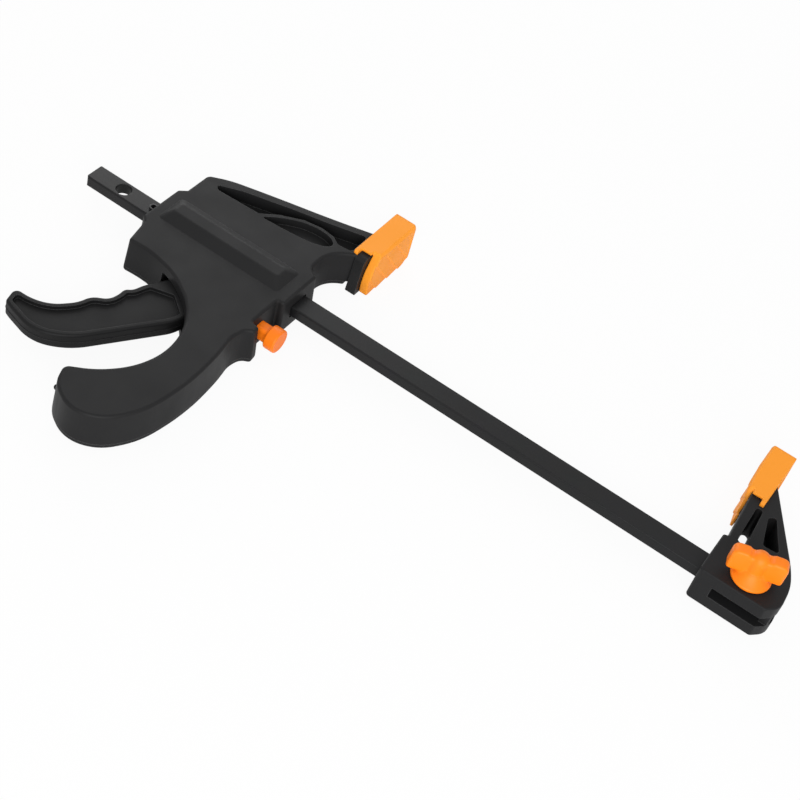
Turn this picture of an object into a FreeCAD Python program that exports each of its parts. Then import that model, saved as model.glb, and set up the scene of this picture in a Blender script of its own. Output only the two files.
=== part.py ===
import FreeCAD, Part
import os
import math

# A quick release bar clamp lying on its flat side. X runs along the bar to the far jaw, Y towards
# the jaw pads, Z up. X = 0 is halfway along the housing, Y = 0 the bar's centre line and Z = 0 the
# housing's flat side face.

# Fits and general values
overrun = 5.0
coincidence = 0.0001
body_gap = 0.3
running_clearance = 0.05
fixed_clearance = 0.05
slide_clearance = 0.1
flow = math.inf

# Bar
bar_width = 14.4
bar_thickness = 7.6
bar_length = 482.3
bar_tail = 54.3
bar_edge_round = 1.0
bar_end_corner = 1.6
bar_hole_radius = 5.2
bar_hole_inset = 23.5
stop_pin_radius = 2.6
stop_pin_bore_radius = 1.8
stop_pin_setback = 7.4
stop_pin_proud = 1.5

# Housing
housing_length = 103.0
housing_thickness = 25.0
housing_wall = 2.5
housing_round = 1.8
wall_draft = 1.3
cover_thickness = 3.5
seam_depth = 0.35
seam_height = 0.25
grip_drop = 164.6
arm_rise = 78.0
collar_half_width = 16.6
collar_proud = 2.6
collar_shoulder = 1.6
collar_chamfer = 4.2
collar_corner = 2.0
recess_depth = 4.7
heel_corner = 2.2
heel_root_corner = 1.2
shoulder_corner = 4.5
grip_tip_corner = 4.5
horn_corner = 2.1
horn_root_corner = 1.2
tunnel_clearance = 0.9

# Corners of the housing's outline: x in shares of its length from the rear face, y in shares of the
# grip's drop below the bar or of the arm's rise above it
heel_shares = [(0.013, -0.126), (0.050, -0.242)]
palm_shares = [
    (0.194, -0.235), (0.408, -0.262), (0.618, -0.349), (0.726, -0.460),
    (0.758, -0.586), (0.703, -0.711), (0.580, -0.809),
]
grip_tip_share = (0.438, -0.869)
grip_back_shares = [
    (0.484, -0.948), (0.650, -1.008), (0.825, -0.971), (0.943, -0.854),
    (0.982, -0.723), (0.993, -0.592), (0.973, -0.447), (0.947, -0.365), (0.968, -0.305),
]
horn_shares = [(1.015, -0.287), (1.009, -0.258)]
horn_root_share = -0.249
throat_shares = [(0.930, 0.272), (0.930, 0.449), (0.970, 0.558)]
arm_top_shares = [(0.783, 0.867), (0.397, 0.727), (0.135, 0.622)]
shoulder_share = 0.53

# Raised rib over the bar tunnel
rib_height = 4.3
rib_base_half_width = 12.0
rib_crest_half_width = 4.5
rib_rear_inset = 4.2
rib_front_inset = 8.6
rib_end_slope = 5.5
rib_round = 3.0

# Pockets in the arm
pocket_depth = 9.0
pocket_tip_corner = 2.5
pocket_upper_shares = [
    (0.105, 0.490), (0.252, 0.583), (0.592, 0.724), (0.786, 0.792), (1.022, 0.892),
]
pocket_lower_shares = [
    (1.022, 0.655), (0.928, 0.640), (0.873, 0.690), (0.781, 0.702), (0.664, 0.673), (0.530, 0.574),
    (0.437, 0.465), (0.139, 0.445),
]
lens_depth = 5.5
lens_tip_share = (0.458, 0.447)
lens_shares = [
    (0.668, 0.470), (0.800, 0.494), (0.893, 0.548), (0.918, 0.610), (0.868, 0.665), (0.780, 0.681),
    (0.671, 0.653), (0.548, 0.560),
]
lens_tip_corner = 1.0

# Flanges and pads of the two jaws
pad_reach = 19.6
pad_thickness = 16.2
pad_front_wall = 6.3
flange_thickness = 6.8
flange_foot = 51.2
flange_foot_rise = 4.8
flange_top = 96.8
flange_corner = 3.0
neck_inset = 4.0
neck_foot = 53.5
heel_corner_radius = 5.0
heel_edge_corner = 1.2
heel_side_drop = 2.2
heel_foot = 46.4
heel_visible_foot = 49.6
pad_side_overlap = 2.2
pad_top = 100.8
pad_foot_recede = 0.4
pad_top_recede = 0.4
pad_side_foot = 56.2
pad_hook_foot = 51.5
pad_foot = 51.6
pad_middle_foot = 51.2
pad_visible_foot = 59.5
pad_corner = 1.8
pad_low_corner = 11.0
pad_front_corner = 3.4
pad_back_corner = 1.2
pad_front_shares = [0.30, 0.75]

# Trigger lever
lever_thickness = 11.0
lever_side_gap = 0.6
lever_reach = 68.7
lever_drop = 99.7
pivot_x_share = 0.505
pivot_drop = 28.0
pivot_pin_radius = 2.5
pivot_boss_radius = 6.0
pivot_socket_depth = 0.8
lever_nose_rise = 14.0
lever_nose_lead = 5.0
lever_nose_radius = 3.0
lever_round = 1.6
lever_web_depth = 2.6
lever_tip_corner = 3.6
lever_rim = 3.2

# Corners of the lever's outline from its pivot: x in shares of its reach, y in shares of its drop
lever_front_shares = [
    (0.134, -0.120), (0.218, -0.346), (-0.320, -0.925), (-0.600, -1.032), (-0.900, -0.975),
]
lever_tip_shares = [(-0.970, -0.957), (-1.014, -0.842)]
lever_rear_shares = [
    (-0.831, -0.838), (-0.677, -0.789), (-0.549, -0.675), (-0.518, -0.584), (-0.393, -0.527),
    (-0.374, -0.450), (-0.380, -0.400), (-0.326, -0.369), (-0.299, -0.295), (-0.215, -0.180),
    (-0.118, -0.040),
]
lever_hub_share = (0.109, 0.030)
lever_web_corner = 2.0
lever_web_limit_shares = [
    (-1.300, -0.300), (-0.430, -0.300), (-0.249, -0.282), (-0.038, -0.233), (0.121, -0.319),
    (0.350, -0.443), (0.350, -1.200), (-1.300, -1.200),
]

# Lever slot in the housing's palm wall
slot_shares = [
    (0.320, -0.150), (0.320, -0.380), (0.550, -0.489), (0.830, -0.489), (0.830, -0.380),
    (0.600, -0.150),
]

# Drive plates, drive spring and its washer
drive_plate_thickness = 3.0
drive_plate_top = 14.0
drive_plate_foot = 19.5
drive_plate_half_width = 8.0
drive_plate_corner = 2.0
drive_spring_wire = 1.6
drive_spring_radius = 9.1
drive_spring_turns = 6
spring_chamber_radius = 10.5
washer_thickness = 1.2

# Brake plate, brake spring and release button
brake_thickness = 3.0
brake_pivot_inset = 15.0
brake_pivot_rise = 13.0
brake_foot = 38.0
brake_half_width = 8.0
brake_tilt = 3.8
brake_side_clearance = 0.4
brake_seat_width = 7.0
brake_seat_rise = 3.5
brake_seat_mouth = 2.4
brake_spring_wire = 0.8
brake_spring_radius = 3.2
brake_spring_turns = 6
brake_spring_drop = 22.0
brake_rib_setback = 29.0
brake_rib_thickness = 4.0
brake_rib_half_height = 6.0
button_drop = 32.4
button_stem_height = 8.0
button_stem_width = 10.0
button_stem_round = 2.0
button_stem_out = 8.4
button_collar_lip = 2.0
button_collar_thickness = 1.6
button_nib = 0.9
button_head_radius = 7.6
button_head_thickness = 7.5
button_head_round = 1.0

# Bar guides in the housing's end walls
guide_length = 4.5
guide_half_height = 13.5
guide_corner = 1.5

# Housing screws, from the hidden side: places in shares of the housing's length and of the grip's drop
screw_radius = 1.5
screw_head_radius = 3.2
screw_head_height = 1.8
screw_head_sink = 0.2
screw_length = 15.0
screw_boss_radius = 4.0
screw_drive_length = 3.4
screw_drive_width = 0.8
screw_drive_depth = 0.9
screw_place_shares = [
    (0.110, -0.182), (0.095, 0.162), (0.835, 0.162), (0.874, -0.304), (0.893, -0.640), (0.700, -0.912),
]

# Far jaw: block round the bar's end and braced upright
jaw_length = 47.4
jaw_side = 14.6
jaw_shoulder = 17.5
jaw_brace_rise = 73.3
pad_lead = 6.6
jaw_corner = 2.5
jaw_round = 1.0
jaw_shoulder_corner = 1.2
jaw_axis_inset = 17.1
jaw_end_gap = 0.3
jaw_cap = 5.2
jaw_side_corner_inset = 6.2
jaw_window_start = 11.2
jaw_window_stop = 1.0
jaw_slit_foot = 8.0
jaw_web_foot = 9.2

# Outline of the far jaw: x in shares of its length from its near face, y in shares of the brace's rise
jaw_end_shares = [(1.015, -0.103), (0.983, 0.139), (0.873, 0.307)]
jaw_front_shares = [(0.047, 0.356), (0.063, 0.256)]
jaw_slot_shares = [(0.170, 0.250), (0.290, 0.250), (0.230, 0.675), (0.140, 0.675)]
jaw_slot_corner = 2.2
jaw_well_shares = [
    (0.448, 0.352), (0.665, 0.362), (0.534, 0.521), (0.405, 0.690), (0.322, 0.640), (0.400, 0.455),
]
jaw_well_corner = 1.8
jaw_well_floor = 6.6

# Knob, its bolt, washer and nut
knob_base_radius = 12.0
knob_waist_radius = 7.6
knob_skirt_height = 7.0
knob_skirt_edge = 1.6
knob_hub_height = 20.8
knob_hub_radius = 6.4
knob_hub_round = 3.0
wing_half_span = 16.2
wing_height = 19.6
wing_foot = 4.4
wing_thickness = 8.0
wing_round = 3.2
wing_outer_corner = 6.0
wing_inner_corner = 3.5
wing_dip = 1.6
wing_lobe_width = 10.2
wing_turn = 17.0
bolt_radius = 2.95
bolt_hole_clearance = 0.35
bolt_foot = 1.4
bolt_head_radius = 5.0
bolt_head_height = 3.0
bolt_head_level = 9.0
knob_washer_radius = 7.8
knob_washer_thickness = 1.2
knob_washer_recess = 1.0
nut_width = 10.0
nut_thickness = 5.0
nut_inset = 0.8

# Places that several pieces share
rear = -housing_length / 2
front = housing_length / 2
mid_height = housing_thickness / 2
shell_top = housing_thickness - housing_wall
recess_face = front - recess_depth
pivot_x = rear + pivot_x_share * housing_length
pivot_y = -pivot_drop
moving_pad_face = front + pad_reach
bar_rear = rear - bar_tail
bar_front = bar_rear + bar_length
jaw_axis = bar_front - jaw_axis_inset
far_end = bar_front + jaw_cap
jaw_near_face = far_end - jaw_length
fixed_pad_face = jaw_near_face - pad_lead
drive_plate_front_x = pivot_x - lever_nose_lead - lever_nose_radius - body_gap
guide_rear_x = rear + housing_wall
guide_front_x = front - housing_wall - guide_length
washer_x = guide_rear_x + guide_length
brake_x = front - brake_pivot_inset
knob_seat = housing_thickness - knob_washer_recess + knob_washer_thickness + slide_clearance


def rounded_wire(corners):
    """Closed wire through (x, y, radius) corners, each rounded as far as its two runs allow."""
    spots = [FreeCAD.Vector(x, y, 0) for x, y, radius in corners]
    starts = []
    middles = []
    ends = []
    for i, here in enumerate(spots):
        before = spots[i - 1] - here
        after = spots[(i + 1) % len(spots)] - here
        room = min(before.Length, after.Length) / 2
        half_turn = (math.pi - before.getAngle(after)) / 2
        reach = min(corners[i][2] * math.tan(half_turn), room)
        before.normalize()
        after.normalize()
        inward = before + after
        inward.normalize()
        depth = reach / math.tan(half_turn) * (1 / math.cos(half_turn) - 1)
        starts.append(here + before * reach)
        middles.append(here + inward * depth)
        ends.append(here + after * reach)
    edges = []
    for i, start in enumerate(starts):
        if start.distanceToPoint(ends[i]) > coincidence:
            edges.append(Part.Arc(start, middles[i], ends[i]).toShape())
        following = starts[(i + 1) % len(starts)]
        if ends[i].distanceToPoint(following) > coincidence:
            edges.append(Part.LineSegment(ends[i], following).toShape())
    return Part.Wire(edges)


def prism(corners, low, high):
    """Upright solid on a rounded outline, from one height to another."""
    face = Part.Face(rounded_wire(corners))
    face.translate(FreeCAD.Vector(0, 0, low))
    return face.extrude(FreeCAD.Vector(0, 0, high - low))


def sideways(corners, x_low, x_high):
    """Solid along X on a rounded outline of (y, z, radius) corners."""
    solid = prism(corners, x_low, x_high)
    solid.rotate(FreeCAD.Vector(0, 0, 0), FreeCAD.Vector(1, 1, 1), 120)
    return solid


def block(x_span, y_span, z_span):
    """Box between pairs of limits."""
    corner = FreeCAD.Vector(min(x_span), min(y_span), min(z_span))
    sizes = [max(span) - min(span) for span in (x_span, y_span, z_span)]
    return Part.makeBox(sizes[0], sizes[1], sizes[2], corner)


def post(x, y, low, high, radius):
    """Upright cylinder."""
    return Part.makeCylinder(radius, high - low, FreeCAD.Vector(x, y, low))


def rod(x_low, x_high, y, half_height, half_width, corner):
    """Solid along X of a rounded rectangular section, centred on the bar's mid height."""
    corners = [
        (-half_width, y - half_height, corner), (half_width, y - half_height, corner),
        (half_width, y + half_height, corner), (-half_width, y + half_height, corner),
    ]
    solid = prism(corners, x_low, x_high)
    solid.rotate(FreeCAD.Vector(0, 0, 0), FreeCAD.Vector(0, 1, 0), 90)
    solid.translate(FreeCAD.Vector(0, 0, mid_height))
    return solid


def bar_hole(x_low, x_high, clearance):
    """Hole along X that the bar passes with a clearance all round."""
    half_height = bar_width / 2 + clearance
    half_width = bar_thickness / 2 + clearance
    return rod(x_low, x_high, 0, half_height, half_width, bar_edge_round)


def rim_edges(solid, height):
    """Edges of a solid that lie all at one height."""
    found = []
    for edge in solid.Edges:
        levels = [vertex.Z for vertex in edge.Vertexes] + [edge.CenterOfMass.z]
        if max(abs(level - height) for level in levels) < coincidence:
            found.append(edge)
    return found


def placed(shares, width, height, radius, x_start, y_start):
    """Corners from shares of a width and a height, measured from a start point."""
    return [(x_start + x * width, y_start + y * height, radius) for x, y in shares]


def tangent_arc(start, leaving, end):
    """Arc from a point in a direction to another point."""
    chord = end - start
    along = FreeCAD.Vector(chord)
    along.normalize()
    outward = leaving - along * leaving.dot(along)
    outward.normalize()
    rise = chord.Length / 2 * math.tan(leaving.getAngle(along) / 2)
    return Part.Arc(start, (start + end) / 2 + outward * rise, end).toShape()


def coil(wire_diameter, radius, length, turns, x_start, y, z):
    """Spring wound about an axis along X, its wire inside the length, on pairs of arcs to a quarter turn."""
    quarters = 4 * turns
    climb = (length - wire_diameter) / quarters
    slope = 4 * climb / math.tau
    places = []
    headings = []
    for quarter in range(quarters + 1):
        angle = math.tau * quarter / 4
        x = x_start + wire_diameter / 2 + climb * quarter
        places.append(FreeCAD.Vector(x, y + radius * math.cos(angle), z + radius * math.sin(angle)))
        heading = FreeCAD.Vector(slope, -radius * math.sin(angle), radius * math.cos(angle))
        heading.normalize()
        headings.append(heading)
    edges = []
    for quarter in range(quarters):
        start, end = places[quarter:quarter + 2]
        leaving, arriving = headings[quarter:quarter + 2]
        span = end - start
        both = leaving + arriving
        spread = 2 * (1 - leaving.dot(arriving))
        reach = (math.sqrt(span.dot(both) ** 2 + spread * span.dot(span)) - span.dot(both)) / spread
        joint = (start + end + (leaving - arriving) * reach) / 2
        edges.append(tangent_arc(start, leaving, joint))
        turned = tangent_arc(end, -arriving, joint)
        turned.reverse()
        edges.append(turned)
    section = Part.Wire(Part.makeCircle(wire_diameter / 2, places[0], headings[0]))
    return Part.Wire(edges).makePipeShell([section], True, False)


def grown(corners, growth):
    """Corners of an anticlockwise outline, each moved out so that every run moves by the growth."""
    spots = [FreeCAD.Vector(x, y, 0) for x, y, radius in corners]
    upward = FreeCAD.Vector(0, 0, 1)
    moved = []
    for i, here in enumerate(spots):
        first = (here - spots[i - 1]).cross(upward)
        second = (spots[(i + 1) % len(spots)] - here).cross(upward)
        first.normalize()
        second.normalize()
        here = here + (first + second) * (growth / (1 + first.dot(second)))
        moved.append((here.x, here.y, corners[i][2]))
    return moved


# Housing outline, used by both halves
def housing_corners(growth=0):
    """Corners of the outline at the visible face, or of it grown all round."""
    collar_rear = rear - collar_proud
    grip = [(collar_rear, -collar_half_width, collar_corner)]
    grip += placed(heel_shares[:1], housing_length, grip_drop, heel_root_corner, rear, 0)
    grip += placed(heel_shares[1:], housing_length, grip_drop, heel_corner, rear, 0)
    grip += placed(palm_shares, housing_length, grip_drop, flow, rear, 0)
    grip += placed([grip_tip_share], housing_length, grip_drop, grip_tip_corner, rear, 0)
    grip += placed(grip_back_shares, housing_length, grip_drop, flow, rear, 0)
    grip += placed(horn_shares, housing_length, grip_drop, horn_corner, rear, 0)
    grip += [
        (recess_face, horn_root_share * grip_drop, horn_root_corner),
        (recess_face, -collar_half_width, horn_root_corner),
        (front, -collar_half_width, collar_corner),
        (front, collar_half_width, collar_corner),
    ]
    arm = placed(throat_shares, housing_length, arm_rise, flow, rear, 0)
    neck = moving_pad_face - pad_front_wall - flange_thickness / 2
    arm += [(neck, neck_foot, 0), (neck, arm_rise, 0)]
    arm += placed(arm_top_shares, housing_length, arm_rise, flow, rear, 0)
    shoulder_x = rear + collar_shoulder
    arm += [
        (shoulder_x, shoulder_share * arm_rise, shoulder_corner),
        (shoulder_x, collar_half_width + collar_chamfer, heel_root_corner),
        (collar_rear, collar_half_width, collar_corner),
    ]
    return grown(grip + arm, growth)


def housing_hollow():
    """Inside of the housing: its outline set in by the wall, up to the arm's solid end."""
    outline = Part.Face(rounded_wire(housing_corners()))
    inner = outline.makeOffset2D(-housing_wall)
    inner.translate(FreeCAD.Vector(0, 0, cover_thickness - overrun))
    hollow = inner.extrude(FreeCAD.Vector(0, 0, shell_top - cover_thickness + overrun))
    keep = block((guide_rear_x, front - housing_wall), (-grip_drop, arm_rise), (0, housing_thickness))
    return hollow.common(keep)


def tunnel_rib():
    """Raised rib with sloped sides and ends over the bar tunnel."""
    wires = []
    for level, half_width, inset in (
        (0, rib_base_half_width, 0),
        (rib_height, rib_crest_half_width, rib_end_slope),
    ):
        low_x = rear + rib_rear_inset + inset
        high_x = front - rib_front_inset - inset
        wire = rounded_wire([
            (low_x, -half_width, rib_round), (high_x, -half_width, rib_round),
            (high_x, half_width, rib_round), (low_x, half_width, rib_round),
        ])
        wire.translate(FreeCAD.Vector(0, 0, housing_thickness + level))
        wires.append(wire)
    rib = Part.makeLoft(wires, True, True)
    return rib.makeFillet(rib_round, rim_edges(rib, housing_thickness + rib_height))


# Jaw flanges and pads, both with the pad's front face at X = 0 and the jaw behind it, towards -X
def tongue(x_back, x_front, low, high, top, corner):
    """Upright plate across X with an arched foot and rounded top corners."""
    shoulder = flange_foot + flange_foot_rise
    bend = corner * (1 - math.sqrt(0.5))
    spots = [
        (shoulder, low), (flange_foot, (low + high) / 2), (shoulder, high),
        (top - corner, high), (top - bend, high - bend), (top, high - corner),
        (top, low + corner), (top - bend, low + bend), (top - corner, low),
    ]
    points = [FreeCAD.Vector(x_front, y, z) for y, z in spots]
    edges = [
        Part.Arc(points[0], points[1], points[2]).toShape(),
        Part.LineSegment(points[2], points[3]).toShape(),
        Part.Arc(points[3], points[4], points[5]).toShape(),
        Part.LineSegment(points[5], points[6]).toShape(),
        Part.Arc(points[6], points[7], points[8]).toShape(),
        Part.LineSegment(points[8], points[0]).toShape(),
    ]
    return Part.Face(Part.Wire(edges)).extrude(FreeCAD.Vector(x_back - x_front, 0, 0))


def flange():
    x_front = -pad_front_wall
    return tongue(x_front - flange_thickness, x_front, 0, housing_thickness, flange_top, flange_corner)


def flange_heel():
    """Drop of the moving jaw's flange below the arm, wider than the housing on the hidden side."""
    heel_top = pad_side_foot - fixed_clearance
    corners = [
        (heel_top, -heel_side_drop, 0), (heel_top, housing_thickness, 0),
        (heel_visible_foot, housing_thickness, heel_corner_radius),
        (heel_foot, -heel_side_drop, heel_edge_corner),
    ]
    return sideways(corners, -pad_front_wall - flange_thickness, -pad_front_wall)


def neck_cuts():
    """Grooves behind the flange, on both sides, that take the pad's lips."""
    x_span = (-pad_thickness - fixed_clearance, -pad_front_wall - flange_thickness)
    lower = block(x_span, (pad_side_foot - fixed_clearance, pad_top), (-overrun, neck_inset))
    upper = block(
        x_span, (pad_hook_foot - fixed_clearance, pad_top),
        (housing_thickness - neck_inset, housing_thickness + overrun),
    )
    return lower.fuse(upper)


def pad():
    """Soft sleeve pushed over the flange from its top end, with a convex front."""
    height = pad_top - flange_foot
    corners = [(-pad_foot_recede, flange_foot, 0)]
    corners += [(0, flange_foot + share * height, flow) for share in pad_front_shares]
    corners += [
        (-pad_top_recede, pad_top, pad_front_corner), (-pad_thickness, pad_top, pad_back_corner),
        (-pad_thickness, flange_foot, 0),
    ]
    low = -pad_side_overlap
    high = housing_thickness + pad_side_overlap
    top = [(pad_top, low, pad_low_corner), (pad_top, high, pad_corner)]
    arched = [
        (pad_visible_foot, high, pad_corner), (pad_middle_foot, mid_height, flow),
        (pad_foot, low, pad_corner),
    ]
    level = [(pad_hook_foot, high, pad_corner), (pad_hook_foot, low, 0)]
    front_part = sideways(top + arched, -pad_front_wall, overrun)
    rear_part = sideways(top + level, -pad_thickness - overrun, -pad_front_wall)
    body = prism(corners, low, high).common(front_part.fuse(rear_part))
    pocket_front = -pad_front_wall + fixed_clearance
    pocket_back = -pad_front_wall - flange_thickness - fixed_clearance
    pocket = tongue(
        pocket_back, pocket_front, -fixed_clearance, housing_thickness + fixed_clearance,
        flange_top + fixed_clearance, flange_corner,
    )
    z_all = (low - overrun, high + overrun)
    side_opening = block((pocket_back, pocket_front), (flange_foot - overrun, pad_side_foot), z_all)
    hook_opening = block(
        (-pad_thickness - overrun, pocket_front), (flange_foot - overrun, pad_side_foot),
        (low - overrun, mid_height),
    )
    neck = block(
        (-pad_thickness - overrun, pocket_back), (flange_foot - overrun, flange_top),
        (neck_inset - fixed_clearance, housing_thickness - neck_inset + fixed_clearance),
    )
    return body.cut([pocket, side_opening, hook_opening, neck])


def moving_side(shape):
    """A jaw shape put at the moving jaw."""
    shape.translate(FreeCAD.Vector(moving_pad_face, 0, 0))
    return shape


def fixed_side(shape):
    """A jaw shape mirrored to face the moving jaw."""
    mirrored = shape.mirror(FreeCAD.Vector(0, 0, 0), FreeCAD.Vector(1, 0, 0))
    mirrored.translate(FreeCAD.Vector(fixed_pad_face, 0, 0))
    return mirrored


# Housing
def arm_pockets(growth):
    """The two pockets in the arm's visible side, grown by a wall or not at all."""
    upper = placed(pocket_upper_shares, housing_length, arm_rise, pocket_tip_corner, rear, 0)
    upper += placed(pocket_lower_shares, housing_length, arm_rise, pocket_tip_corner, rear, 0)
    lens = placed([lens_tip_share], housing_length, arm_rise, lens_tip_corner, rear, 0)
    lens += placed(lens_shares, housing_length, arm_rise, flow, rear, 0)
    pockets = []
    for corners, depth in ((upper, pocket_depth), (lens, lens_depth)):
        face = Part.Face(rounded_wire(corners))
        if growth:
            face = face.makeOffset2D(growth)
        face.translate(FreeCAD.Vector(0, 0, housing_thickness - depth - growth))
        pockets.append(face.extrude(FreeCAD.Vector(0, 0, depth + growth + overrun)))
    return pockets


def screw_places():
    return [(rear + x * housing_length, y * grip_drop) for x, y in screw_place_shares]


def lever_slot():
    corners = placed(slot_shares, housing_length, grip_drop, 0, rear, 0)
    half = lever_thickness / 2 + lever_side_gap
    return prism(corners, mid_height - half, mid_height + half)


def spring_chamber():
    """Round chamber that the drive spring lies in, sunk a little into both halves."""
    length = drive_plate_front_x - washer_x
    return Part.makeCylinder(
        spring_chamber_radius, length, FreeCAD.Vector(washer_x, 0, mid_height), FreeCAD.Vector(1, 0, 0)
    )


def bar_tunnel():
    return bar_hole(rear - overrun, front + overrun, tunnel_clearance)


def seam_groove(level):
    """Shallow groove all round the parting line."""
    outline = Part.Face(rounded_wire(housing_corners(wall_draft)))
    ring = outline.makeOffset2D(overrun).cut(outline.makeOffset2D(-seam_depth))
    ring.translate(FreeCAD.Vector(0, 0, level))
    return ring.extrude(FreeCAD.Vector(0, 0, seam_height))


def brake_seat():
    """Block with a round-bottomed notch that holds the brake plate's top end."""
    half = brake_seat_width / 2
    notch_radius = brake_thickness / 2
    notch_top = shell_top - body_gap
    seat = block(
        (brake_x - half, brake_x + half),
        (brake_pivot_rise - notch_radius, brake_pivot_rise + brake_seat_rise),
        (cover_thickness + body_gap, shell_top),
    )
    notch = post(brake_x, brake_pivot_rise, 0, notch_top, notch_radius + running_clearance)
    mouth = block(
        (brake_x - brake_seat_mouth, brake_x + brake_seat_mouth), (0, brake_pivot_rise), (0, notch_top),
    )
    return seat.cut([notch, mouth])


def housing_shell():
    wide = rounded_wire(housing_corners(wall_draft))
    wide.translate(FreeCAD.Vector(0, 0, cover_thickness))
    narrow = rounded_wire(housing_corners())
    narrow.translate(FreeCAD.Vector(0, 0, housing_thickness))
    shell = Part.makeLoft([wide, narrow], True, True)
    shell = shell.makeFillet(housing_round, rim_edges(shell, housing_thickness))
    shell = shell.fuse(tunnel_rib())
    hollow = housing_hollow()
    for tub in arm_pockets(housing_wall):
        hollow = hollow.cut(tub)
    shell = shell.cut(hollow)
    posts = [post(x, y, cover_thickness, shell_top, screw_boss_radius) for x, y in screw_places()]
    lever_top = mid_height + lever_thickness / 2
    posts.append(post(pivot_x, pivot_y, lever_top + body_gap, shell_top, pivot_boss_radius))
    rib_x = front - brake_rib_setback
    posts.append(block(
        (rib_x, rib_x + brake_rib_thickness),
        (-brake_spring_drop - brake_rib_half_height, -brake_spring_drop + brake_rib_half_height),
        (cover_thickness + body_gap, shell_top),
    ))
    posts.append(brake_seat())
    shell = shell.fuse(posts)
    shell = shell.fuse([moving_side(flange()), moving_side(flange_heel())])
    cuts = arm_pockets(0)
    cuts += [moving_side(neck_cuts()), lever_slot(), spring_chamber(), bar_tunnel(), button_hole()]
    screw_depth = cover_thickness + screw_length
    cuts += [post(x, y, 0, screw_depth, screw_radius + fixed_clearance) for x, y in screw_places()]
    socket_top = shell_top + pivot_socket_depth
    cuts.append(post(pivot_x, pivot_y, 0, socket_top, pivot_pin_radius + fixed_clearance))
    return shell.cut(cuts)


def housing_cover():
    cover = prism(housing_corners(wall_draft), 0, cover_thickness)
    cover = cover.makeFillet(housing_round, rim_edges(cover, 0))
    cover = cover.cut(moving_side(block(
        (-pad_thickness - fixed_clearance, overrun), (collar_half_width, pad_top),
        (-overrun, housing_thickness),
    )))
    lever_foot = mid_height - lever_thickness / 2
    cover = cover.fuse(post(pivot_x, pivot_y, cover_thickness, lever_foot - body_gap, pivot_boss_radius))
    cuts = [spring_chamber(), bar_tunnel(), seam_groove(cover_thickness - seam_height)]
    socket_foot = cover_thickness - pivot_socket_depth
    cuts.append(post(pivot_x, pivot_y, socket_foot, mid_height, pivot_pin_radius + fixed_clearance))
    for x, y in screw_places():
        cuts.append(post(x, y, -overrun, housing_thickness, screw_radius + fixed_clearance))
        head_top = screw_head_sink + screw_head_height
        cuts.append(post(x, y, -overrun, head_top, screw_head_radius + slide_clearance))
    return cover.cut(cuts)


def housing_screws():
    """Pan head screws with crossed slots, heads sunk in the cover."""
    screws = []
    for x, y in screw_places():
        head_top = screw_head_sink + screw_head_height
        screw = post(x, y, screw_head_sink, head_top, screw_head_radius)
        screw = screw.fuse(post(x, y, head_top, head_top + screw_length, screw_radius))
        for length, width in (
            (screw_drive_length, screw_drive_width),
            (screw_drive_width, screw_drive_length),
        ):
            screw = screw.cut(block(
                (x - length / 2, x + length / 2), (y - width / 2, y + width / 2),
                (0, screw_head_sink + screw_drive_depth),
            ))
        screws.append(screw)
    return Part.makeCompound(screws)


def bar_guide(x_low):
    """Slide block that fills the housing's height and carries the bar."""
    half_width = (shell_top - cover_thickness) / 2
    guide = rod(x_low, x_low + guide_length, 0, guide_half_height, half_width, guide_corner)
    guide.translate(FreeCAD.Vector(0, 0, (shell_top + cover_thickness) / 2 - mid_height))
    return guide.cut(bar_hole(x_low - overrun, x_low + guide_length + overrun, slide_clearance))


# Bar
def bar():
    body = rod(bar_rear, bar_front, 0, bar_width / 2, bar_thickness / 2, bar_edge_round)
    half = bar_width / 2
    body = body.common(prism(
        [
            (bar_rear, -half, bar_end_corner), (bar_front, -half, 0),
            (bar_front, half, 0), (bar_rear, half, bar_end_corner),
        ],
        0, housing_thickness,
    ))
    bolt_hole = post(jaw_axis, 0, 0, housing_thickness, bolt_radius + bolt_hole_clearance)
    pin_hole = post(rear - stop_pin_setback, 0, 0, housing_thickness, stop_pin_radius)
    end_hole = post(bar_rear + bar_hole_inset, 0, 0, housing_thickness, bar_hole_radius)
    return body.cut([bolt_hole, pin_hole, end_hole])


def stop_pin():
    """Hollow cross pin, proud of the bar on both sides."""
    half = bar_thickness / 2 + stop_pin_proud
    low = mid_height - half
    high = mid_height + half
    pin = post(rear - stop_pin_setback, 0, low, high, stop_pin_radius)
    return pin.cut(post(rear - stop_pin_setback, 0, low, high, stop_pin_bore_radius))


# Trigger lever and its pin
def lever_corners():
    corners = placed(lever_front_shares, lever_reach, lever_drop, flow, pivot_x, pivot_y)
    corners += placed(lever_tip_shares, lever_reach, lever_drop, lever_tip_corner, pivot_x, pivot_y)
    corners += placed(lever_rear_shares, lever_reach, lever_drop, flow, pivot_x, pivot_y)
    nose_x = pivot_x - lever_nose_lead
    nose_top = pivot_y + lever_nose_rise + lever_nose_radius
    corners += [
        (nose_x - lever_nose_radius, nose_top, lever_nose_radius),
        (nose_x + lever_nose_radius, nose_top, lever_nose_radius),
    ]
    corners += placed([lever_hub_share], lever_reach, lever_drop, flow, pivot_x, pivot_y)
    return corners


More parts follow.
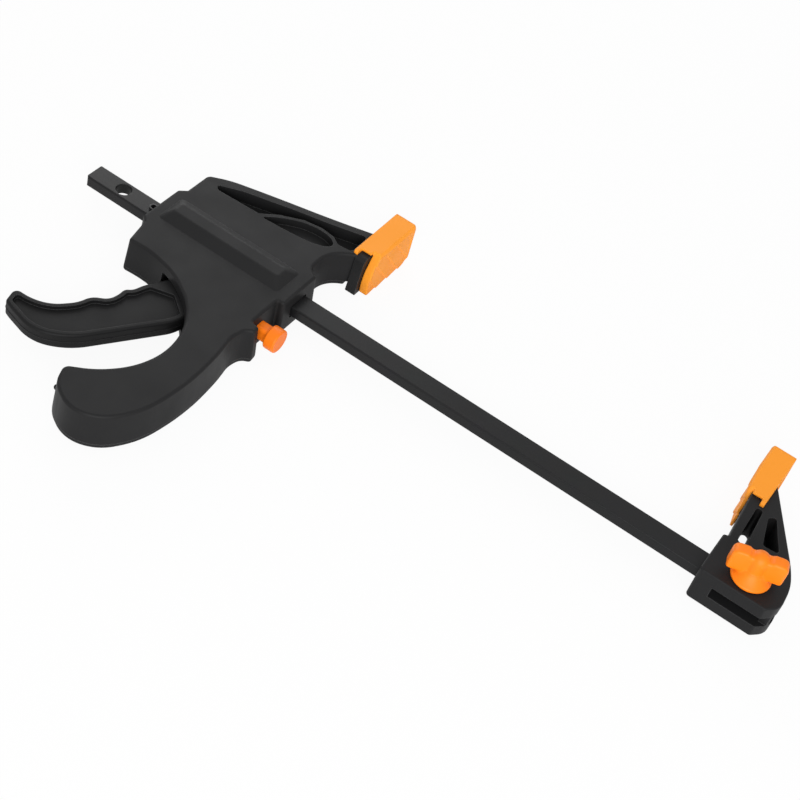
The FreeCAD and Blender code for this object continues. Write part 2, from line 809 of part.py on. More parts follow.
def trigger_lever():
    """Curved lever with finger scallops and a recessed web on each side."""
    foot = mid_height - lever_thickness / 2
    top = mid_height + lever_thickness / 2
    lever = prism(lever_corners(), foot, top)
    lever = lever.makeFillet(lever_round, rim_edges(lever, foot) + rim_edges(lever, top))
    limit = placed(lever_web_limit_shares, lever_reach, lever_drop, 0, pivot_x, pivot_y)
    inner = Part.Face(rounded_wire(lever_corners())).makeOffset2D(-lever_rim)
    recess = inner.common(Part.Face(rounded_wire(limit))).Faces[0]
    recess = recess.makeOffset2D(-lever_web_corner).makeOffset2D(lever_web_corner)
    recess.translate(FreeCAD.Vector(0, 0, top - lever_web_depth))
    upper = recess.extrude(FreeCAD.Vector(0, 0, lever_web_depth + overrun))
    lower = upper.mirror(FreeCAD.Vector(0, 0, mid_height), FreeCAD.Vector(0, 0, 1))
    bore = post(pivot_x, pivot_y, 0, housing_thickness, pivot_pin_radius + running_clearance)
    return lever.cut([upper, lower, bore])


def trigger_pivot_pin():
    low = cover_thickness - pivot_socket_depth + fixed_clearance
    high = shell_top + pivot_socket_depth - fixed_clearance
    return post(pivot_x, pivot_y, low, high, pivot_pin_radius)


# Drive
def drive_plate(x_front):
    x_back = x_front - drive_plate_thickness
    mid = (drive_plate_top - drive_plate_foot) / 2
    half_height = (drive_plate_top + drive_plate_foot) / 2
    plate = rod(x_back, x_front, mid, half_height, drive_plate_half_width, drive_plate_corner)
    return plate.cut(bar_hole(x_back - overrun, x_front + overrun, slide_clearance))


def spring_washer():
    disc = Part.makeCylinder(
        drive_spring_radius + drive_spring_wire / 2, washer_thickness,
        FreeCAD.Vector(washer_x, 0, mid_height), FreeCAD.Vector(1, 0, 0),
    )
    return disc.cut(bar_hole(washer_x - overrun, washer_x + overrun, slide_clearance))


def drive_spring():
    low = washer_x + washer_thickness
    length = drive_plate_front_x - 2 * drive_plate_thickness - low
    return coil(drive_spring_wire, drive_spring_radius, length, drive_spring_turns, low, 0, mid_height)


# Brake
def brake_plate():
    """Plate hung by its rounded top end and tilted so that its foot leans to the button."""
    half = brake_thickness / 2
    x_span = (brake_x - half, brake_x + half)
    z_low = mid_height - brake_half_width
    z_high = mid_height + brake_half_width
    plate = block(x_span, (-brake_foot, brake_pivot_rise), (z_low, z_high))
    plate = plate.fuse(post(brake_x, brake_pivot_rise, z_low, z_high, half))
    tilt = math.radians(brake_tilt)
    slot_half = (bar_width / 2 + slide_clearance + half * math.sin(tilt)) / math.cos(tilt)
    slot = rod(
        brake_x - overrun, brake_x + overrun, 0, slot_half,
        bar_thickness / 2 + brake_side_clearance, bar_edge_round,
    )
    plate = plate.cut(slot)
    plate.rotate(FreeCAD.Vector(brake_x, brake_pivot_rise, 0), FreeCAD.Vector(0, 0, 1), brake_tilt)
    return plate


def brake_lean(drop):
    """How far the tilted plate's middle plane leans forward at a depth below the bar."""
    return (brake_pivot_rise + drop) * math.tan(math.radians(brake_tilt))


def brake_spring():
    rib_face = front - brake_rib_setback + brake_rib_thickness
    skin = brake_thickness / 2 / math.cos(math.radians(brake_tilt))
    upper_edge = brake_spring_drop - brake_spring_radius - brake_spring_wire / 2
    plate_face = brake_x + brake_lean(upper_edge) - skin
    length = plate_face - slide_clearance - rib_face
    return coil(
        brake_spring_wire, brake_spring_radius, length, brake_spring_turns,
        rib_face, -brake_spring_drop, mid_height,
    )


def button_hole():
    return rod(
        recess_face - housing_wall - overrun, recess_face + overrun, -button_drop,
        button_stem_height / 2 + body_gap, button_stem_width / 2 + body_gap, button_stem_round,
    )


def release_button():
    """Square stem with a retaining collar inside the housing and a round head outside."""
    half_height = button_stem_height / 2
    half_width = button_stem_width / 2
    skin = brake_thickness / 2 / math.cos(math.radians(brake_tilt))
    nib_x = brake_x + brake_lean(button_drop + half_height) + skin + slide_clearance
    head_x = recess_face + button_stem_out
    stem = rod(nib_x, head_x + coincidence, -button_drop, half_height, half_width, button_stem_round)
    collar_x = nib_x + button_nib
    collar = rod(
        collar_x, collar_x + button_collar_thickness, -button_drop,
        half_height + button_collar_lip, half_width + button_collar_lip, button_stem_round,
    )
    head = Part.makeCylinder(
        button_head_radius, button_head_thickness, FreeCAD.Vector(head_x, -button_drop, mid_height),
        FreeCAD.Vector(1, 0, 0),
    )
    head = head.makeFillet(button_head_round, head.Edges)
    return stem.fuse([collar, head])


# Far jaw
def jaw_corners():
    corners = [
        (jaw_near_face, -jaw_side, jaw_corner),
        (far_end - jaw_side_corner_inset, -jaw_side, jaw_corner),
    ]
    corners += placed(jaw_end_shares, jaw_length, jaw_brace_rise, flow, jaw_near_face, 0)
    flange_front = fixed_pad_face + pad_front_wall
    corners += [
        (fixed_pad_face + pad_thickness + fixed_clearance, jaw_brace_rise, 0),
        (flange_front + flange_thickness / 2, jaw_brace_rise, 0),
        (flange_front, pad_side_foot, 0),
    ]
    corners += placed(
        jaw_front_shares, jaw_length, jaw_brace_rise, jaw_shoulder_corner, jaw_near_face, 0
    )
    corners.append((jaw_near_face, jaw_shoulder, jaw_shoulder_corner))
    return corners


def fixed_jaw():
    jaw = prism(jaw_corners(), 0, housing_thickness)
    jaw = jaw.makeFillet(jaw_round, rim_edges(jaw, 0) + rim_edges(jaw, housing_thickness))
    jaw = jaw.fuse(fixed_side(flange()))
    half = bar_thickness / 2 + slide_clearance
    z_span = (mid_height - half, mid_height + half)
    channel_end = bar_front + jaw_end_gap
    slot = placed(jaw_slot_shares, jaw_length, jaw_brace_rise, jaw_slot_corner, jaw_near_face, 0)
    well = placed(jaw_well_shares, jaw_length, jaw_brace_rise, jaw_well_corner, jaw_near_face, 0)
    return jaw.cut([
        fixed_side(neck_cuts()),
        bar_hole(jaw_near_face - overrun, channel_end, slide_clearance),
        block(
            (jaw_near_face + jaw_window_start, bar_front - jaw_window_stop),
            (-jaw_side - overrun, 0), z_span,
        ),
        block(
            (jaw_near_face + jaw_window_start, far_end + overrun),
            (-jaw_side - overrun, -jaw_web_foot), z_span,
        ),
        block((bar_front, far_end + overrun), (-jaw_slit_foot, bar_width / 2), z_span),
        prism(slot, -overrun, housing_thickness + overrun),
        prism(well, jaw_well_floor, housing_thickness + overrun),
        post(jaw_axis, 0, -overrun, housing_thickness + overrun, bolt_radius + bolt_hole_clearance),
        post(
            jaw_axis, 0, housing_thickness - knob_washer_recess, housing_thickness + overrun,
            knob_washer_radius + slide_clearance,
        ),
        nut_prism(
            -overrun, nut_inset + nut_thickness + fixed_clearance, nut_width + 2 * fixed_clearance
        ),
    ])


def nut_prism(low, high, across_flats):
    """Hexagonal solid on the jaw's bolt axis."""
    radius = across_flats / math.sqrt(3)
    corners = []
    for side in range(6):
        angle = math.radians(60 * side)
        corners.append((jaw_axis + radius * math.cos(angle), radius * math.sin(angle), 0))
    return prism(corners, low, high)


def jaw_nut():
    nut = nut_prism(nut_inset, nut_inset + nut_thickness, nut_width)
    return nut.cut(post(jaw_axis, 0, 0, housing_thickness, bolt_radius + running_clearance))


def knob_washer():
    low = housing_thickness - knob_washer_recess
    disc = post(jaw_axis, 0, low, low + knob_washer_thickness, knob_washer_radius)
    return disc.cut(post(jaw_axis, 0, 0, low + overrun, bolt_radius + bolt_hole_clearance))


# Knob and its bolt
def knob_bolt():
    """Plain shank with a round head moulded into the knob."""
    head_low = knob_seat + bolt_head_level
    shank = post(jaw_axis, 0, bolt_foot, head_low, bolt_radius)
    return shank.fuse(post(jaw_axis, 0, head_low, head_low + bolt_head_height, bolt_head_radius))


def wing_corners():
    """Side view of the two wings with a dip on each side of the hub, across and up."""
    dip_x = wing_half_span - wing_lobe_width
    half = [
        (dip_x, wing_height - wing_dip, wing_inner_corner / 2),
        (dip_x + wing_dip, wing_height, wing_inner_corner),
        (wing_half_span, wing_height, wing_outer_corner),
        (wing_half_span, wing_foot, wing_outer_corner),
    ]
    mirrored = [(-x, y, corner) for x, y, corner in reversed(half)]
    return half + mirrored


def wing_knob():
    """Flared skirt, round hub and two rounded wings."""
    skirt_points = [
        (0, 0), (knob_base_radius, 0), (knob_base_radius, knob_skirt_edge),
        (knob_waist_radius, knob_skirt_height), (0, knob_skirt_height),
    ]
    spots = [FreeCAD.Vector(x, 0, z) for x, z in skirt_points]
    skirt = Part.Face(Part.makePolygon(spots + spots[:1])).revolve(
        FreeCAD.Vector(0, 0, 0), FreeCAD.Vector(0, 0, 1), 360
    )
    hub = post(0, 0, 0, knob_hub_height, knob_hub_radius)
    hub = hub.makeFillet(knob_hub_round, rim_edges(hub, knob_hub_height))
    wings = prism(wing_corners(), -wing_thickness / 2, wing_thickness / 2)
    rims = rim_edges(wings, -wing_thickness / 2) + rim_edges(wings, wing_thickness / 2)
    wings = wings.makeFillet(wing_round, rims)
    wings.rotate(FreeCAD.Vector(0, 0, 0), FreeCAD.Vector(1, 0, 0), 90)
    knob = skirt.fuse([hub, wings])
    knob.rotate(FreeCAD.Vector(0, 0, 0), FreeCAD.Vector(0, 0, 1), wing_turn)
    knob.translate(FreeCAD.Vector(jaw_axis, 0, knob_seat))
    head_low = knob_seat + bolt_head_level - fixed_clearance
    head_high = knob_seat + bolt_head_level + bolt_head_height + fixed_clearance
    shank_hole = post(jaw_axis, 0, 0, head_high, bolt_radius + running_clearance)
    head_hole = post(jaw_axis, 0, head_low, head_high, bolt_head_radius + running_clearance)
    return knob.cut([shank_hole, head_hole])


parts = {
    "bar": bar(),
    "stop_pin": stop_pin(),
    "housing_shell": housing_shell(),
    "housing_cover": housing_cover(),
    "housing_screws": housing_screws(),
    "bar_guide_rear": bar_guide(guide_rear_x),
    "bar_guide_front": bar_guide(guide_front_x),
    "trigger_lever": trigger_lever(),
    "trigger_pivot_pin": trigger_pivot_pin(),
    "drive_plate_front": drive_plate(drive_plate_front_x),
    "drive_plate_rear": drive_plate(drive_plate_front_x - drive_plate_thickness),
    "drive_spring": drive_spring(),
    "spring_washer": spring_washer(),
    "brake_plate": brake_plate(),
    "brake_spring": brake_spring(),
    "release_button": release_button(),
    "moving_jaw_pad": moving_side(pad()),
    "fixed_jaw": fixed_jaw(),
    "fixed_jaw_pad": fixed_side(pad()),
    "jaw_nut": jaw_nut(),
    "knob_washer": knob_washer(),
    "knob_bolt": knob_bolt(),
    "wing_knob": wing_knob(),
}

os.makedirs("parts", exist_ok=True)
for node, shape in parts.items():
    shape.exportStep("parts/" + node + ".step")
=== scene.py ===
import math

import bmesh
import bpy
from mathutils import Matrix, Vector


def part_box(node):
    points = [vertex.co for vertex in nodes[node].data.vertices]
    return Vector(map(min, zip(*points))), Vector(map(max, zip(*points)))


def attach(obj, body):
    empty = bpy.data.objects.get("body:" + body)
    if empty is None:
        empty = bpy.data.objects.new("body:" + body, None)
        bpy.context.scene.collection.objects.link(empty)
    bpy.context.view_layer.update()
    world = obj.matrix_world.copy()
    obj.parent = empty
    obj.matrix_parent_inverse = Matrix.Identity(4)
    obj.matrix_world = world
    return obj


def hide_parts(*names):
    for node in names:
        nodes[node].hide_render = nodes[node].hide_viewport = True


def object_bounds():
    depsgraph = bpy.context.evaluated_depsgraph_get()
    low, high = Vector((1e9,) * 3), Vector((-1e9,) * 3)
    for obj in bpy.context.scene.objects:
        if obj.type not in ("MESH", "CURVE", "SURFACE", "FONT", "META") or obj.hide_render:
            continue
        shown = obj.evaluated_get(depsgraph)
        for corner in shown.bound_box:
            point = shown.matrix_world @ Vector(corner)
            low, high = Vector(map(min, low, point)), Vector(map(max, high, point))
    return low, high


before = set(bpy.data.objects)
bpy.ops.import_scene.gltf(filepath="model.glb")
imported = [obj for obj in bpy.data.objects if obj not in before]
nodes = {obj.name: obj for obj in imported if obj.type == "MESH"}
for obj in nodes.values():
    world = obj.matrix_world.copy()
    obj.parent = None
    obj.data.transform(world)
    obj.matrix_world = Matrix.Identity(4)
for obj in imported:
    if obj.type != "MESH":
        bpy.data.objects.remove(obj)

cad_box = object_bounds()
scene = bpy.context.scene

# Camera
# A long lens looks down on the clamp from in front of the far jaw, turned a little so that the bar runs
# down the picture to the right, as in the photograph.
camera_place = Vector((0.3798, -0.6623, 0.7142))
camera_tilt = math.radians(44.37)
camera_heading = math.radians(20.46)
camera_roll = math.radians(17.91)
camera_data = bpy.data.cameras.new("studio_camera")
camera_data.sensor_width = 36
camera_data.lens = 76.5
camera_data.clip_start = 0.01
camera_data.clip_end = 20
camera = bpy.data.objects.new("studio_camera", camera_data)
camera.matrix_world = (
    Matrix.Translation(camera_place)
    @ Matrix.Rotation(camera_heading, 4, "Z")
    @ Matrix.Rotation(camera_tilt, 4, "X")
    @ Matrix.Rotation(camera_roll, 4, "Z")
)
scene.collection.objects.link(camera)
scene.camera = camera

# Studio floor and light
# A seamless white sheet under the clamp, with a soft box over it, a strip behind it that draws thin
# highlights on the moulded edges, a low fill in front, and a white room all round.
scene.view_settings.view_transform = "Standard"
floor_level = cad_box[0][2] - 0.0002
floor_reach = 4.0
floor_mesh = bpy.data.meshes.new("studio_floor")
floor_mesh.from_pydata(
    [(-floor_reach, -floor_reach, floor_level), (floor_reach, -floor_reach, floor_level),
     (floor_reach, floor_reach, floor_level), (-floor_reach, floor_reach, floor_level)],
    [], [(0, 1, 2, 3)],
)
floor = bpy.data.objects.new("studio_floor", floor_mesh)
scene.collection.objects.link(floor)


def seen_directly(tree):
    """Socket that is 1 for what the camera, a gloss or a clear piece shows."""
    path = tree.nodes.new("ShaderNodeLightPath")
    both = tree.nodes.new("ShaderNodeMath")
    both.operation = "MAXIMUM"
    tree.links.new(path.outputs["Is Camera Ray"], both.inputs[0])
    tree.links.new(path.outputs["Is Glossy Ray"], both.inputs[1])
    every = tree.nodes.new("ShaderNodeMath")
    every.operation = "MAXIMUM"
    tree.links.new(both.outputs[0], every.inputs[0])
    tree.links.new(path.outputs["Is Transmission Ray"], every.inputs[1])
    return every.outputs[0]


paper_glow_share = 0.93
floor_paper = bpy.data.materials.new("floor_paper")
floor_paper.use_nodes = True
paper = floor_paper.node_tree
paper.nodes.clear()
paper_out = paper.nodes.new("ShaderNodeOutputMaterial")
paper_mix = paper.nodes.new("ShaderNodeMixShader")
paper_sheet = paper.nodes.new("ShaderNodeBsdfDiffuse")
paper_sheet.inputs["Color"].default_value = (0.88, 0.88, 0.88, 1)
paper_glow = paper.nodes.new("ShaderNodeEmission")
paper_glow.inputs["Strength"].default_value = 1.0
paper_share = paper.nodes.new("ShaderNodeMath")
paper_share.operation = "MULTIPLY"
paper_share.inputs[1].default_value = paper_glow_share
paper.links.new(seen_directly(paper), paper_share.inputs[0])
paper.links.new(paper_share.outputs[0], paper_mix.inputs[0])
paper.links.new(paper_sheet.outputs[0], paper_mix.inputs[1])
paper.links.new(paper_glow.outputs[0], paper_mix.inputs[2])
paper.links.new(paper_mix.outputs[0], paper_out.inputs[0])
floor_mesh.materials.append(floor_paper)

studio_world = bpy.data.worlds.new("studio_room")
scene.world = studio_world
studio_world.use_nodes = True
room = studio_world.node_tree
room.nodes.clear()
room_out = room.nodes.new("ShaderNodeOutputWorld")
room_seen = room.nodes.new("ShaderNodeBackground")
room_seen.inputs["Color"].default_value = (1, 1, 1, 1)
room_seen.inputs["Strength"].default_value = 1.0
room_lit = room.nodes.new("ShaderNodeBackground")
room_lit.inputs["Color"].default_value = (1, 1, 1, 1)
room_lit.inputs["Strength"].default_value = 0.45
room_mix = room.nodes.new("ShaderNodeMixShader")
room.links.new(seen_directly(room), room_mix.inputs[0])
room.links.new(room_lit.outputs[0], room_mix.inputs[1])
room.links.new(room_seen.outputs[0], room_mix.inputs[2])
room.links.new(room_mix.outputs[0], room_out.inputs[0])

soft_boxes = [
    ("overhead_box", (0.05, 0.35, 1.6), (0.05, 0.0, 0.0), 1.6, 3),
    ("back_strip", (-0.9, 1.2, 0.7), (0.05, 0.0, 0.0), 1.0, 9),
    ("front_fill", (0.9, -1.4, 0.8), (0.05, 0.0, 0.0), 1.4, 29),
]
for name, place, aim, size, power in soft_boxes:
    lamp_data = bpy.data.lights.new(name, "AREA")
    lamp_data.shape = "SQUARE"
    lamp_data.size = size
    lamp_data.energy = power
    lamp = bpy.data.objects.new(name, lamp_data)
    lamp.location = place
    lamp.rotation_euler = (Vector(aim) - Vector(place)).to_track_quat("-Z", "Y").to_euler()
    scene.collection.objects.link(lamp)

# Housing
# Two halves of glass-filled nylon, moulded with a fine spark-eroded grain and drafted walls, and
# screwed together along a parting line low on the grip. The rounded edges are painted paler as a
# highlight.
mm = 0.001


def sockets(group, inputs, outputs):
    """Named sockets of a node group, and its input and output nodes."""
    for label, kind in inputs:
        group.interface.new_socket(label, in_out="INPUT", socket_type=kind)
    for label, kind in outputs:
        group.interface.new_socket(label, in_out="OUTPUT", socket_type=kind)
    return group.nodes.new("NodeGroupInput"), group.nodes.new("NodeGroupOutput")


moulded_grain = bpy.data.node_groups.new("moulded_grain", "ShaderNodeTree")
grain_in, grain_out = sockets(
    moulded_grain,
    [("Colour", "NodeSocketColor"), ("Grains per metre", "NodeSocketFloat"),
     ("Cloud share", "NodeSocketFloat"), ("Smoothest", "NodeSocketFloat"),
     ("Roughest", "NodeSocketFloat")],
    [("Colour", "NodeSocketColor"), ("Roughness", "NodeSocketFloat"), ("Height", "NodeSocketFloat")],
)
grain_place = moulded_grain.nodes.new("ShaderNodeTexCoord")
grain_fine = moulded_grain.nodes.new("ShaderNodeTexNoise")
grain_fine.inputs["Detail"].default_value = 3.0
grain_cloud = moulded_grain.nodes.new("ShaderNodeTexNoise")
grain_cloud.inputs["Scale"].default_value = 45.0
grain_cloud.inputs["Detail"].default_value = 4.0
grain_rough = moulded_grain.nodes.new("ShaderNodeMapRange")
grain_dark = moulded_grain.nodes.new("ShaderNodeMix")
grain_dark.data_type = "RGBA"
grain_dark.blend_type = "MULTIPLY"
grain_shift = moulded_grain.nodes.new("ShaderNodeMath")
grain_shift.operation = "MULTIPLY"
moulded_grain.links.new(grain_place.outputs["Object"], grain_fine.inputs["Vector"])
moulded_grain.links.new(grain_place.outputs["Object"], grain_cloud.inputs["Vector"])
moulded_grain.links.new(grain_in.outputs["Grains per metre"], grain_fine.inputs["Scale"])
moulded_grain.links.new(grain_cloud.outputs["Fac"], grain_rough.inputs["Value"])
grain_rough.inputs["From Min"].default_value = 0.3
grain_rough.inputs["From Max"].default_value = 0.7
moulded_grain.links.new(grain_in.outputs["Smoothest"], grain_rough.inputs["To Min"])
moulded_grain.links.new(grain_in.outputs["Roughest"], grain_rough.inputs["To Max"])
moulded_grain.links.new(grain_cloud.outputs["Fac"], grain_shift.inputs[0])
moulded_grain.links.new(grain_in.outputs["Cloud share"], grain_shift.inputs[1])
moulded_grain.links.new(grain_shift.outputs[0], grain_dark.inputs["Factor"])
moulded_grain.links.new(grain_in.outputs["Colour"], grain_dark.inputs["A"])
moulded_grain.links.new(grain_fine.outputs["Color"], grain_dark.inputs["B"])
moulded_grain.links.new(grain_dark.outputs["Result"], grain_out.inputs["Colour"])
moulded_grain.links.new(grain_rough.outputs["Result"], grain_out.inputs["Roughness"])
moulded_grain.links.new(grain_fine.outputs["Fac"], grain_out.inputs["Height"])

# Paler edges: where the bevelled normal turns away from the face's own normal, the colour is mixed
# towards a paler one. This is a painted highlight on the edges, partly also wear. The bevelled normal
# also rounds the edges.
edge_highlight_and_wear = bpy.data.node_groups.new("edge_highlight_and_wear", "ShaderNodeTree")
edge_in, edge_out = sockets(
    edge_highlight_and_wear,
    [("Colour", "NodeSocketColor"), ("Worn and highlight colour", "NodeSocketColor"),
     ("Edge width", "NodeSocketFloat"), ("Strength", "NodeSocketFloat")],
    [("Colour", "NodeSocketColor"), ("Mask", "NodeSocketFloat"), ("Normal", "NodeSocketVector")],
)
edge_bevel = edge_highlight_and_wear.nodes.new("ShaderNodeBevel")
edge_bevel.samples = 6
edge_face = edge_highlight_and_wear.nodes.new("ShaderNodeNewGeometry")
edge_turn = edge_highlight_and_wear.nodes.new("ShaderNodeVectorMath")
edge_turn.operation = "DOT_PRODUCT"
edge_range = edge_highlight_and_wear.nodes.new("ShaderNodeMapRange")
edge_range.inputs["From Min"].default_value = 0.995
edge_range.inputs["From Max"].default_value = 0.8
edge_strength = edge_highlight_and_wear.nodes.new("ShaderNodeMath")
edge_strength.operation = "MULTIPLY"
edge_mix = edge_highlight_and_wear.nodes.new("ShaderNodeMix")
edge_mix.data_type = "RGBA"
edge_highlight_and_wear.links.new(edge_in.outputs["Edge width"], edge_bevel.inputs["Radius"])
edge_highlight_and_wear.links.new(edge_bevel.outputs["Normal"], edge_turn.inputs[0])
edge_highlight_and_wear.links.new(edge_face.outputs["Normal"], edge_turn.inputs[1])
edge_highlight_and_wear.links.new(edge_turn.outputs["Value"], edge_range.inputs["Value"])
edge_highlight_and_wear.links.new(edge_range.outputs["Result"], edge_strength.inputs[0])
edge_highlight_and_wear.links.new(edge_in.outputs["Strength"], edge_strength.inputs[1])
edge_highlight_and_wear.links.new(edge_strength.outputs[0], edge_mix.inputs["Factor"])
edge_highlight_and_wear.links.new(edge_in.outputs["Colour"], edge_mix.inputs["A"])
edge_highlight_and_wear.links.new(edge_in.outputs["Worn and highlight colour"], edge_mix.inputs["B"])
edge_highlight_and_wear.links.new(edge_mix.outputs["Result"], edge_out.inputs["Colour"])
edge_highlight_and_wear.links.new(edge_strength.outputs[0], edge_out.inputs["Mask"])
edge_highlight_and_wear.links.new(edge_bevel.outputs["Normal"], edge_out.inputs["Normal"])


def placed_group(tree, group, values, feeds=()):
    """A node group set in a material with its values, and with links into it."""
    node = tree.nodes.new("ShaderNodeGroup")
    node.node_tree = group
    for label, value in values.items():
        node.inputs[label].default_value = value
    for label, source in feeds:
        tree.links.new(source, node.inputs[label])
    return node


def moulding(
    name, colour, highlight_and_worn, edge_width, highlight_and_wear, grains, cloud, roughness, grain_depth, gloss=0.25
):
    """Moulded plastic with grain in its gloss and relief, and with its rounded edges painted paler as a
    highlight.
    """
    material = bpy.data.materials.new(name)
    material.use_nodes = True
    tree = material.node_tree
    skin = tree.nodes["Principled BSDF"]
    skin.inputs["Specular IOR Level"].default_value = gloss
    grain = placed_group(tree, moulded_grain, {
        "Colour": (*colour, 1), "Grains per metre": grains, "Cloud share": cloud,
        "Smoothest": roughness[0], "Roughest": roughness[1],
    })
    edge = placed_group(
        tree, edge_highlight_and_wear, {"Worn and highlight colour": (*highlight_and_worn, 1), "Edge width": edge_width, "Strength": highlight_and_wear},
        [("Colour", grain.outputs["Colour"])],
    )
    bump = tree.nodes.new("ShaderNodeBump")
    bump.inputs["Strength"].default_value = 0.35
    bump.inputs["Distance"].default_value = grain_depth
    tree.links.new(grain.outputs["Height"], bump.inputs["Height"])
    tree.links.new(edge.outputs["Normal"], bump.inputs["Normal"])
    tree.links.new(edge.outputs["Colour"], skin.inputs["Base Color"])
    tree.links.new(grain.outputs["Roughness"], skin.inputs["Roughness"])
    tree.links.new(bump.outputs["Normal"], skin.inputs["Normal"])
    return material


def finish_nodes(material, *names):
    """A finish put on CAD nodes."""
    for node in names:
        mesh = nodes[node].data
        mesh.materials.clear()
        mesh.materials.append(material)


housing_nylon = moulding(
    "housing_nylon", colour=(0.015, 0.015, 0.0155), highlight_and_worn=(0.10, 0.10, 0.102),
    edge_width=0.5 * mm, highlight_and_wear=0.7, grains=2200, cloud=0.35, roughness=(0.46, 0.56),
    grain_depth=0.05 * mm, gloss=0.12,
)
finish_nodes(housing_nylon, "housing_shell", "housing_cover")

# Housing: gate mark
# The runner is snipped off at the tip of the grip and leaves a small rounded stub on its wall.
nub_place = Vector((-5.6, -148.6, 11.0)) * mm
nub_radius = 1.5 * mm
nub_proud = 1.7 * mm
nub_tall_share = 1.25
nub_mesh = bpy.data.meshes.new("gate_mark")
nub = bmesh.new()
bmesh.ops.create_uvsphere(nub, u_segments=24, v_segments=12, radius=nub_radius)
for vert in nub.verts:
    vert.co.x *= nub_proud / nub_radius
    vert.co.z *= nub_tall_share
nub.to_mesh(nub_mesh)
nub.free()
nub_mesh.shade_smooth()
gate_mark = bpy.data.objects.new("gate_mark", nub_mesh)
gate_mark.location = nub_place
scene.collection.objects.link(gate_mark)
nub_mesh.materials.append(housing_nylon)
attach(gate_mark, "housing")

# Housing screws
# Pan head screws, zinc plated and bright, driven from the hidden side with their heads below its face.
brushed_grain = bpy.data.node_groups.new("brushed_grain", "ShaderNodeTree")
brush_in, brush_out = sockets(
    brushed_grain,
    [("Colour", "NodeSocketColor"), ("Stretch", "NodeSocketVector"), ("Smoothest", "NodeSocketFloat"),
     ("Roughest", "NodeSocketFloat"), ("Stain share", "NodeSocketFloat")],
    [("Colour", "NodeSocketColor"), ("Roughness", "NodeSocketFloat"), ("Height", "NodeSocketFloat")],
)
brush_place = brushed_grain.nodes.new("ShaderNodeTexCoord")
brush_scale = brushed_grain.nodes.new("ShaderNodeVectorMath")
brush_scale.operation = "MULTIPLY"
brush_lines = brushed_grain.nodes.new("ShaderNodeTexNoise")
brush_lines.inputs["Scale"].default_value = 1.0
brush_lines.inputs["Detail"].default_value = 5.0
brush_stain = brushed_grain.nodes.new("ShaderNodeTexNoise")
brush_stain.inputs["Scale"].default_value = 70.0
brush_rough = brushed_grain.nodes.new("ShaderNodeMapRange")
brush_rough.inputs["From Min"].default_value = 0.35
brush_rough.inputs["From Max"].default_value = 0.65
brush_dark = brushed_grain.nodes.new("ShaderNodeMix")
brush_dark.data_type = "RGBA"
brush_dark.blend_type = "MULTIPLY"
brushed_grain.links.new(brush_place.outputs["Object"], brush_scale.inputs[0])
brushed_grain.links.new(brush_in.outputs["Stretch"], brush_scale.inputs[1])
brushed_grain.links.new(brush_scale.outputs["Vector"], brush_lines.inputs["Vector"])
brushed_grain.links.new(brush_place.outputs["Object"], brush_stain.inputs["Vector"])
brushed_grain.links.new(brush_lines.outputs["Fac"], brush_rough.inputs["Value"])
brushed_grain.links.new(brush_in.outputs["Smoothest"], brush_rough.inputs["To Min"])
brushed_grain.links.new(brush_in.outputs["Roughest"], brush_rough.inputs["To Max"])
brushed_grain.links.new(brush_in.outputs["Stain share"], brush_dark.inputs["Factor"])
brushed_grain.links.new(brush_in.outputs["Colour"], brush_dark.inputs["A"])
brushed_grain.links.new(brush_stain.outputs["Color"], brush_dark.inputs["B"])
brushed_grain.links.new(brush_dark.outputs["Result"], brush_out.inputs["Colour"])
brushed_grain.links.new(brush_rough.outputs["Result"], brush_out.inputs["Roughness"])
brushed_grain.links.new(brush_lines.outputs["Fac"], brush_out.inputs["Height"])


def drawn_metal(
    name, colour, highlight_and_worn, stretch, roughness, stain, metallic, highlight_and_wear, edge_width=0.35 * mm, gloss=0.5
):
    """Drawn, turned or stamped steel: fine lines one way, faint stains, and edges painted paler, partly
    as rubbed wear and partly as a highlight.
    """
    material = bpy.data.materials.new(name)
    material.use_nodes = True
    tree = material.node_tree
    skin = tree.nodes["Principled BSDF"]
    skin.inputs["Metallic"].default_value = metallic
    skin.inputs["Specular IOR Level"].default_value = gloss
    lines = placed_group(tree, brushed_grain, {
        "Colour": (*colour, 1), "Stretch": stretch, "Smoothest": roughness[0], "Roughest": roughness[1],
        "Stain share": stain,
    })
    edge = placed_group(
        tree, edge_highlight_and_wear, {"Worn and highlight colour": (*highlight_and_worn, 1), "Edge width": edge_width, "Strength": highlight_and_wear},
        [("Colour", lines.outputs["Colour"])],
    )
    bump = tree.nodes.new("ShaderNodeBump")
    bump.inputs["Strength"].default_value = 0.2
    bump.inputs["Distance"].default_value = 0.02 * mm
    tree.links.new(lines.outputs["Height"], bump.inputs["Height"])
    tree.links.new(edge.outputs["Normal"], bump.inputs["Normal"])
    tree.links.new(edge.outputs["Colour"], skin.inputs["Base Color"])
    tree.links.new(lines.outputs["Roughness"], skin.inputs["Roughness"])
    tree.links.new(bump.outputs["Normal"], skin.inputs["Normal"])
    return material


turned_lines = (900, 900, 5200)
screw_zinc = drawn_metal(
    "screw_zinc", colour=(0.56, 0.57, 0.60), highlight_and_worn=(0.75, 0.75, 0.76), stretch=turned_lines,
    roughness=(0.24, 0.36), stain=0.25, metallic=1.0, highlight_and_wear=0.6, edge_width=0.2 * mm,
)
finish_nodes(screw_zinc, "housing_screws")

